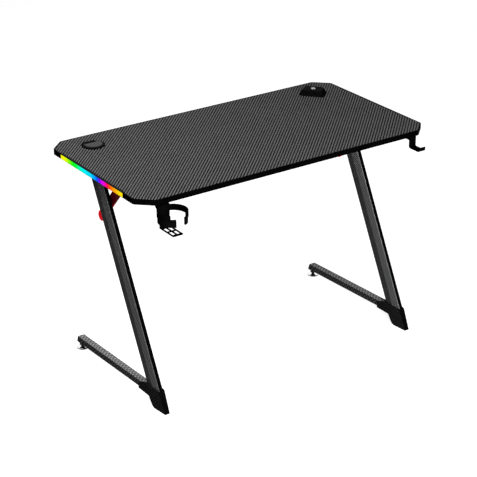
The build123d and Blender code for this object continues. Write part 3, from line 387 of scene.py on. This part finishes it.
# ---------------------------------------------------------------- finishes of plates and plastic
def laminate_finish():
    """Printed carbon twill, black towards the rim; plain dark backing on the underside."""
    finish = Finish("carbon_laminate", specular=0.005)
    tree = finish.tree
    printed, weave = carbon_colours(finish, finish.place, grey(0.004), grey(0.116))
    grain = finish.effect(fine_grain, Grain=1800.0)
    dust = finish.effect(dust_film, Amount=0.015)
    rim = finish.effect(edge_wear_and_highlight, Reach=7 * MM)
    backing = blend_colours(tree, grain["Patch"], (0.014, 0.014, 0.015), (0.026, 0.026, 0.027))
    on_top = calc(tree, "GREATER_THAN", finish.facing_share("Z"), 0.5)
    printed = blend_colours(tree, dust["Mask"], printed, DUST_TINT)
    rim_line = calc(tree, "MULTIPLY", rim["Mask"], 1.8, clamp=True)
    printed = blend_colours(tree, rim_line, printed, grey(0.002))
    finish.colour(blend_colours(tree, on_top, backing, printed))
    finish.gloss(grain["Patch"], 0.46, 0.56)
    height = blend_values(tree, on_top, grain["Height"], weave["Height"])
    finish.relief(height, 0.06 * MM, 0.6)
    return finish.material


def moulded_finish(
    name, dark, light, roughness=0.5, specular=0.04, grain=1400.0, wear=0.35,
    depth=0.05 * MM, sides=None, dust=0.006,
):
    """Fine-grained moulding or paint, a little patchy, with rubbed edges; sides can differ."""
    finish = Finish(name, roughness, specular)
    tree = finish.tree
    skin = finish.effect(fine_grain, Grain=grain)
    edges = finish.effect(edge_wear_and_highlight)
    base = blend_colours(tree, skin["Patch"], dark, light)
    if sides is not None:
        base = blend_colours(tree, finish.faces("Z", 0.8), sides, base)
    rubbed = tuple(min(1.0, channel * 1.8 + 0.008) for channel in light)
    worn = blend_colours(tree, calc(tree, "MULTIPLY", edges["Mask"], wear), base, rubbed)
    finish.colour(worn, dust)
    finish.gloss(skin["Patch"], roughness - 0.06, roughness + 0.08)
    finish.relief(skin["Height"], depth, 0.5, edges["Normal"])
    return finish.material


def cap_finish():
    """Grommet cap: grey face with a black lip, painted wider in front as painted shade of the
    raised rim, and a black surround to its slot.
    """
    finish = Finish("grey_plastic", 0.55, 0.03)
    tree = finish.tree
    grain = finish.effect(fine_grain)
    edges = finish.effect(edge_wear_and_highlight)
    place = split(tree, finish.place)
    middle = (cap_low + cap_high) / 2
    radius = (cap_high.x - cap_low.x) / 2

    def off(axis, centre):
        return calc(tree, "SUBTRACT", place[axis], centre)

    # The lip's circle is set off to the rear and right, so its black reaches further in front:
    # painted shade.
    face_x = off("X", middle.x + 0.10 * radius)
    face_y = off("Y", middle.y + 0.14 * radius)
    squares = calc(tree, "ADD", calc(tree, "POWER", face_x, 2), calc(tree, "POWER", face_y, 2))
    lip_and_painted_shade = calc(tree, "GREATER_THAN", calc(tree, "SQRT", squares), 0.84 * radius)
    slot_x = calc(tree, "ABSOLUTE", off("X", middle.x))
    slot_y = calc(tree, "ABSOLUTE", off("Y", middle.y + 0.66 * radius))
    slot = calc(
        tree, "MULTIPLY",
        calc(tree, "LESS_THAN", slot_x, 0.62 * radius),
        calc(tree, "LESS_THAN", slot_y, 0.25 * radius),
    )
    black_part = calc(tree, "MAXIMUM", lip_and_painted_shade, slot)
    grey_part = calc(tree, "SUBTRACT", finish.faces("Z", 0.8), black_part, clamp=True)
    face = blend_colours(tree, grain["Patch"], grey(0.048), grey(0.068))
    finish.colour(blend_colours(tree, grey_part, grey(0.0010), face), dust=0.006)
    finish.gloss(grain["Patch"], 0.48, 0.62)
    finish.relief(grain["Height"], 0.05 * MM, 0.5, edges["Normal"])
    return finish.material


def button_finish():
    """Pale push button, a little patchy."""
    finish = Finish("white_plastic", 0.3, 0.5)
    grain = finish.effect(fine_grain, Grain=1700.0)
    finish.colour(blend_colours(finish.tree, grain["Patch"], grey(0.25), grey(0.32)))
    finish.relief(grain["Height"], 0.02 * MM, 0.4)
    return finish.material


# ---------------------------------------------------------------- finishes of the legs
def leg_finish(
    name, turn, front=(0.030, 0.088), rear=(0.012, 0.048), rim=0.36, tow=column_tow
):
    """Leg tube: carbon film on the flanks, paler on top as a painted highlight, and black front and
    rear faces.

    front and rear are the two tones of the film on the halves of a flank that look a little
    forward or back, the front painted lighter as painted light and the rear darker as painted
    shade, and rim is the tone of the painted highlight along a flank's edges on its front half.
    """
    finish = Finish(name, 0.55, 0.0)
    tree = finish.tree
    along = split(tree, place_anew(tree, finish.place, turn=(turn, 0, 0)))
    around = calc(tree, "ADD", along["X"], along["Z"])
    # Painted light and shade: a flank's front half takes the lighter front tones, its rear half the
    # darker rear tones.
    lit_front_half = remap(tree, finish.facing_share("Y"), 0.04, -0.04)
    # Painted highlight: faces that look up take the paler top tones.
    upward = remap(tree, finish.facing_share("Z"), 0.5, 0.9)
    flank = finish.faces("X", 0.55)
    covered = calc(tree, "MAXIMUM", flank, upward)
    tones = [
        blend_colours(tree, upward, blend_colours(tree, lit_front_half, grey(back), grey(ahead)), top)
        for back, ahead, top in zip(rear, front, (grey(0.12), grey(0.26)))
    ]
    film, weave = carbon_colours(
        finish, flat_place(tree, along["Y"], around), *tones, streak=0.3, tow=tow
    )
    grain = finish.effect(fine_grain, Grain=1500.0)
    edges = finish.effect(edge_wear_and_highlight)
    # Painted highlight: a wide edge mask draws a line of the rim tone along a flank's front edges.
    painted_edge_highlight = finish.effect(edge_wear_and_highlight, Reach=5.5 * MM)
    black = blend_colours(tree, grain["Patch"], (0.0002,) * 3, (0.0008,) * 3)
    base = blend_colours(tree, covered, black, film)
    line = calc(tree, "MULTIPLY", calc(tree, "MULTIPLY", painted_edge_highlight["Mask"], flank), lit_front_half)
    line = calc(tree, "MULTIPLY", line, 1.4, clamp=True)
    finish.colour(blend_colours(tree, line, base, grey(rim)), dust=0.003)
    finish.gloss(grain["Patch"], 0.46, 0.58)
    height = blend_values(tree, covered, grain["Height"], weave["Height"])
    finish.relief(height, 0.05 * MM, 0.5, edges["Normal"])
    return finish.material


def strut_finish():
    """Red paint, painted dark towards the rail that carries it, as painted shade under the desk
    top.
    """
    finish = Finish("red_paint", 0.5, 0.02)
    tree = finish.tree
    grain = finish.effect(fine_grain)
    edges = finish.effect(edge_wear_and_highlight)
    height = split(tree, finish.place)["Z"]
    # Painted shade: the red darkens towards the top of the strut, under the desk top.
    unshaded = remap(tree, height, painted_shade_end, unshaded_start)
    red = blend_colours(tree, grain["Patch"], (0.78, 0.001, 0.012), (0.92, 0.002, 0.018))
    painted_shade = blend_colours(tree, grain["Patch"], (0.05, 0.0008, 0.003), (0.10, 0.001, 0.005))
    rubbed = calc(tree, "MULTIPLY", edges["Mask"], 0.3)
    worn = blend_colours(tree, rubbed, red, (0.95, 0.05, 0.06))
    finish.colour(blend_colours(tree, unshaded, painted_shade, worn))
    finish.gloss(grain["Patch"], 0.44, 0.58)
    finish.relief(grain["Height"], 0.05 * MM, 0.5, edges["Normal"])
    return finish.material


def shoe_finish():
    """Moulded shoe with a carbon weave on its sides and top, and plain black ends."""
    finish = Finish("carbon_moulding", 0.5, 0.0)
    tree = finish.tree
    plane = finish.effect(face_plane, Normal=finish.facing)["Plane"]
    woven, weave = carbon_colours(finish, plane, grey(0.0008), grey(0.015))
    base = blend_colours(tree, finish.faces("Y", 0.5), woven, grey(0.001))
    edges = finish.effect(edge_wear_and_highlight)
    rubbed = calc(tree, "MULTIPLY", edges["Mask"], 0.5)
    finish.colour(blend_colours(tree, rubbed, base, grey(0.0006)), dust=0.004)
    finish.gloss(weave["Fibre"], 0.34, 0.5)
    finish.relief(weave["Height"], 0.25 * MM, 0.8, edges["Normal"])
    return finish.material


# ---------------------------------------------------------------- finishes of metal and circuits
def metal_finish(name, colour, roughness):
    """Bare or plated metal with fine lines drawn along X."""
    finish = Finish(name, roughness, 0.5, 1.0)
    tree = finish.tree
    brushed = 0.25
    lines = noise(tree, place_anew(tree, finish.place, (40, 2400, 2400)), 1, 3, 0.6)
    edges = finish.effect(edge_wear_and_highlight, Reach=0.4 * MM)
    dull = tuple(channel * 0.8 for channel in colour)
    bright = tuple(min(1.0, channel * 1.25) for channel in colour)
    toned = blend_colours(tree, lines, dull, colour)
    finish.colour(blend_colours(tree, edges["Mask"], toned, bright))
    finish.gloss(lines, roughness * (1 - brushed), roughness * (1 + brushed))
    finish.relief(lines, 0.01 * MM, 0.4, edges["Normal"])
    return finish.material


def levelling_finish():
    """Levelling foot: a polished top to the disc, and black elsewhere, as painted shade on the
    hexagon and stud under the foot cap.
    """
    finish = Finish("levelling_steel", 0.2, 0.5, 1.0)
    tree = finish.tree
    low = calc(tree, "LESS_THAN", split(tree, finish.place)["Z"], disc_top_z)
    upward = calc(tree, "GREATER_THAN", finish.facing_share("Z"), 0.4)
    disc = calc(tree, "MULTIPLY", low, upward)
    lines = noise(tree, place_anew(tree, finish.place, (900, 900, 60)), 1, 3, 0.6)
    edges = finish.effect(edge_wear_and_highlight, Reach=0.4 * MM)
    # Painted shade: all but the disc's top, the hexagon and stud included, takes this black.
    black = blend_colours(tree, lines, grey(0.006), grey(0.02))
    polish = blend_colours(tree, lines, grey(0.90), grey(0.97))
    finish.colour(blend_colours(tree, disc, black, polish))
    finish.gloss(lines, 0.14, 0.26)
    finish.relief(lines, 0.01 * MM, 0.3, edges["Normal"])
    return finish.material


def circuit_finish():
    """Green solder mask over a network of raised tracks."""
    finish = Finish("circuit_board", 0.35, 0.5)
    tree = finish.tree
    tracks = put(tree, "ShaderNodeTexBrick", offset=0.37)
    tracks.inputs["Scale"].default_value = 260
    tracks.inputs["Mortar Size"].default_value = 0.06
    join(tree, finish.place, tracks.inputs["Vector"])
    line = tracks.outputs["Fac"]
    grain = finish.effect(fine_grain, Grain=900.0)
    mask_tone = blend_colours(tree, grain["Patch"], (0.008, 0.07, 0.02), (0.015, 0.12, 0.035))
    finish.colour(blend_colours(tree, line, mask_tone, (0.03, 0.22, 0.06)))
    finish.gloss(line, 0.3, 0.45, span=(0, 1))
    finish.relief(line, 0.05 * MM, 0.6)
    return finish.material


# ---------------------------------------------------------------- finishes of the edge lights
# The run of light, from the rear end (0) to the front end (1).
light_run = [
    (0.000, (1.0, 0.90, 0.0)),
    (0.080, (0.85, 1.0, 0.0)),
    (0.140, (0.25, 1.0, 0.0)),
    (0.200, (0.0, 1.0, 0.0)),
    (0.270, (0.0, 1.0, 0.06)),
    (0.330, (0.0, 1.0, 0.55)),
    (0.400, (0.0, 0.92, 1.0)),
    (0.500, (0.0, 0.72, 1.0)),
    (0.560, (0.0, 0.36, 1.0)),
    (0.610, (0.0, 0.05, 1.0)),
    (0.645, (0.20, 0.0, 1.0)),
    (0.680, (0.70, 0.0, 1.0)),
    (0.725, (1.0, 0.0, 0.60)),
    (0.765, (1.0, 0.0, 0.06)),
    (0.805, (1.0, 0.07, 0.0)),
    (0.850, (1.0, 0.28, 0.0)),
    (0.900, (1.0, 0.46, 0.0)),
    (0.950, (1.0, 0.70, 0.0)),
    (1.000, (1.0, 0.82, 0.0)),
]


def tape_finish():
    """White circuit tape with pale yellow light chips at their pitch."""
    finish = Finish("white_tape", 0.4, 0.5)
    tree = finish.tree
    along = calc(tree, "SUBTRACT", split(tree, finish.place)["Y"], light_middle)
    share = calc(tree, "FRACT", calc(tree, "DIVIDE", along, light_pitch))
    chip = either_way(tree, calc(tree, "SUBTRACT", share, 0.5), 0.34)
    grain = finish.effect(fine_grain, Grain=1600.0)
    tape = blend_colours(tree, grain["Patch"], (0.7, 0.7, 0.68), (0.82, 0.82, 0.8))
    finish.colour(blend_colours(tree, chip, tape, (0.75, 0.62, 0.2)))
    finish.relief(grain["Height"], 0.03 * MM, 0.4)
    return finish.material


def diffuser_finish():
    """Milky strip that glows in a run of colours, a trace brighter over each light chip."""
    finish = Finish("light_diffuser", 0.4, 0.0)
    tree = finish.tree
    along = split(tree, finish.place)["Y"]
    run = put(tree, "ShaderNodeValToRGB")
    ramp = run.color_ramp
    for point, (stop, colour) in zip(ramp.elements, (light_run[0], light_run[-1])):
        point.position = stop
        point.color = (*colour, 1)
    for stop, colour in light_run[1:-1]:
        ramp.elements.new(stop).color = (*colour, 1)
    join(tree, remap(tree, along, light_high.y, light_low.y), run.inputs[0])
    from_middle = calc(tree, "SUBTRACT", along, light_middle)
    beat = calc(tree, "COSINE", calc(tree, "MULTIPLY", from_middle, 2 * pi / light_pitch))
    glow = scale_colour(tree, run.outputs[0], calc(tree, "MULTIPLY_ADD", beat, 0.03, 0.97))
    grain = finish.effect(fine_grain, Grain=1200.0)
    finish.colour(blend_colours(tree, grain["Patch"], (0.0,) * 3, (0.006,) * 3))
    join(tree, glow, finish.shader.inputs["Emission Color"])
    finish.shader.inputs["Emission Strength"].default_value = 1.0
    finish.relief(grain["Height"], 0.02 * MM, 0.3)
    return finish.material


# ---------------------------------------------------------------- finishes on the pieces
def assign(material, *names):
    for name in names:
        slots = nodes[name].data.materials
        slots.clear()
        slots.append(material)


def pair(name):
    return f"{name}_left", f"{name}_right"


def finish_top():
    assign(laminate_finish(), "desktop_board")
    edging = moulded_finish(
        "black_edging", grey(0.0003), grey(0.0009), 0.6, 0.0, grain=1800.0, wear=0.03, dust=0.002
    )
    assign(edging, "edge_band_front", "edge_band_rear")
    anodised = moulded_finish(
        "black_aluminium", (0.0015, 0.0015, 0.0016), (0.003, 0.003, 0.0032), 0.5, 0.02,
        grain=2200.0, wear=0.1, depth=0.01 * MM,
    )
    assign(anodised, *pair("led_channel"))
    assign(tape_finish(), *pair("led_tape"))
    assign(diffuser_finish(), *pair("led_diffuser"))


def finish_legs():
    assign(leg_finish("column_film", column_lean), *pair("column"))
    rail_tones = (0.003, 0.052)
    rail_film = leg_finish("rail_film", -rail_slope, rail_tones, rail_tones, 0.001, rail_tow)
    assign(rail_film, *pair("foot_rail"), *pair("foot_cap"))
    paint = moulded_finish(
        "leg_paint", (0.010, 0.010, 0.0105), (0.017, 0.017, 0.0175), 0.5, 0.03
    )
    assign(paint, *pair("top_rail"), "beam_front", "beam_rear")
    assign(strut_finish(), *pair("strut"))
    assign(shoe_finish(), *pair("shoe"))
    assign(levelling_finish(), *pair("levelling_foot"))
    rubber = moulded_finish(
        "black_rubber", grey(0.001), grey(0.0026), 0.8, 0.0, grain=1100.0, wear=0.1, dust=0.002
    )
    assign(rubber, *pair("shoe_pad"), *pair("levelling_pad"), "cup_grips")


def finish_fittings():
    black = moulded_finish(
        "black_moulding", grey(0.0005), grey(0.0016), 0.5, 0.0, wear=0.2, dust=0.002
    )
    assign(
        black, "cup_bracket", "cup_ring", "headphone_hook", "grommet_sleeve", "hub_base",
        "hub_lock_nut", "controller_jack", "top_rail_caps",
    )
    casing = moulded_finish("controller_plastic", grey(0.010), grey(0.020), 0.5, 0.03)
    assign(casing, "controller_case", "controller_lid")
    button = moulded_finish("button_plastic", grey(0.16), grey(0.22), 0.45, 0.1)
    assign(button, "controller_button")
    housing = moulded_finish(
        "hub_moulding", grey(0.006), grey(0.016), 0.5, 0.0, sides=grey(0.0015), dust=0.004
    )
    assign(housing, "hub_housing")
    assign(cap_finish(), "grommet_cap")
    assign(button_finish(), "hub_button")
    assign(
        metal_finish("black_steel", (0.03, 0.03, 0.031), 0.38),
        "rail_screws", "beam_screws", "strut_screws", "cup_screws", "cup_ring_screw",
        "hook_screws", "controller_screws",
    )
    assign(metal_finish("brass", (0.62, 0.42, 0.16), 0.3), "threaded_inserts", "levelling_bushes")
    assign(metal_finish("dark_nickel", (0.035, 0.035, 0.036), 0.35), "hub_ports")
    assign(circuit_finish(), "hub_circuit", "controller_circuit")


# ---------------------------------------------------------------- room, lamps and camera
def seen_directly(tree):
    """1 for what the camera, a gloss or a clear material sees, 0 for plain light."""
    path = put(tree, "ShaderNodeLightPath")
    seen = calc(tree, "MAXIMUM", path.outputs["Is Camera Ray"], path.outputs["Is Glossy Ray"])
    return calc(tree, "MAXIMUM", seen, path.outputs["Is Transmission Ray"])


def by_sight(tree, for_light, for_sight, surface):
    """Join one shader for plain light and another for what is seen directly."""
    choice = put(tree, "ShaderNodeMixShader")
    join(tree, seen_directly(tree), choice.inputs[0])
    join(tree, for_light.outputs[0], choice.inputs[1])
    join(tree, for_sight.outputs[0], choice.inputs[2])
    join(tree, choice.outputs[0], surface)


def make_world():
    """White ground to the eye, and a low even light on the desk."""
    world = bpy.data.worlds.new("studio")
    scene.world = world
    world.use_nodes = True
    tree = world.node_tree
    light = tree.nodes["Background"]
    white = put(tree, "ShaderNodeBackground")
    for ground, strength in ((light, world_light), (white, 1.0)):
        ground.inputs["Color"].default_value = (1, 1, 1, 1)
        ground.inputs["Strength"].default_value = strength
    by_sight(tree, light, white, tree.nodes["World Output"].inputs["Surface"])


def make_floor():
    """White floor: bright to the eye, with the soft shadow of the desk still on it."""
    mesh = bpy.data.meshes.new("studio_floor")
    half = floor_size / 2
    corners = [(-half, -half), (half, -half), (half, half), (-half, half)]
    mesh.from_pydata([(x, y, -floor_drop) for x, y in corners], [], [(0, 1, 2, 3)])
    floor = bpy.data.objects.new("studio_floor", mesh)
    scene.collection.objects.link(floor)
    material = bpy.data.materials.new("studio_white")
    material.use_nodes = True
    tree = material.node_tree
    tree.nodes.remove(tree.nodes["Principled BSDF"])
    shaded = put(tree, "ShaderNodeBsdfDiffuse")
    shaded.inputs["Color"].default_value = (0.5, 0.5, 0.5, 1)
    bounce = put(tree, "ShaderNodeBsdfDiffuse")
    bounce.inputs["Color"].default_value = (0.6, 0.6, 0.6, 1)
    glow = put(tree, "ShaderNodeEmission")
    glow.inputs["Strength"].default_value = floor_glow
    lit_floor = put(tree, "ShaderNodeAddShader")
    join(tree, shaded.outputs[0], lit_floor.inputs[0])
    join(tree, glow.outputs[0], lit_floor.inputs[1])
    by_sight(tree, bounce, lit_floor, tree.nodes["Material Output"].inputs["Surface"])
    mesh.materials.append(material)


def softbox(name, place, target, width, height, watts):
    lamp = bpy.data.lights.new(name, "AREA")
    lamp.shape = "RECTANGLE"
    lamp.size = width
    lamp.size_y = height
    lamp.energy = watts
    made = bpy.data.objects.new(name, lamp)
    made.location = place
    aim = Vector(target) - Vector(place)
    made.rotation_euler = aim.to_track_quat("-Z", "Y").to_euler()
    made.visible_camera = False
    made.visible_glossy = False
    scene.collection.objects.link(made)


def make_lamps():
    """Five soft lamps: place, aim, width, height and power of each."""
    softbox("overhead", (0.0, 0.4, 3.2), desk_middle, 3.0, 2.0, 6)
    softbox("left_box", (-3.6, -0.6, 1.6), (0, 0, 0.5), 2.6, 1.8, 7)
    softbox("front_box", (-1.2, -4.6, 1.4), (0, 0, 0.4), 2.0, 1.2, 90)
    softbox("inner_box", (-0.25, -2.6, 0.9), (0.5, 0, 0.4), 0.8, 0.8, 130)
    softbox("left_high", (-1.4, 0.2, 2.6), (-0.5, 0, 0.7), 0.8, 1.4, 46)


def make_camera():
    camera = bpy.data.cameras.new("view")
    camera.lens = camera_lens
    camera.sensor_width = sensor_width
    camera.clip_end = 100
    made = bpy.data.objects.new("view", camera)
    made.location = camera_place
    made.rotation_euler = (radians(camera_pitch), 0, radians(camera_turn))
    scene.collection.objects.link(made)
    scene.camera = made


make_camera()
make_world()
make_floor()
make_lamps()
finish_top()
finish_legs()
finish_fittings()

scene.view_settings.view_transform = "Standard"
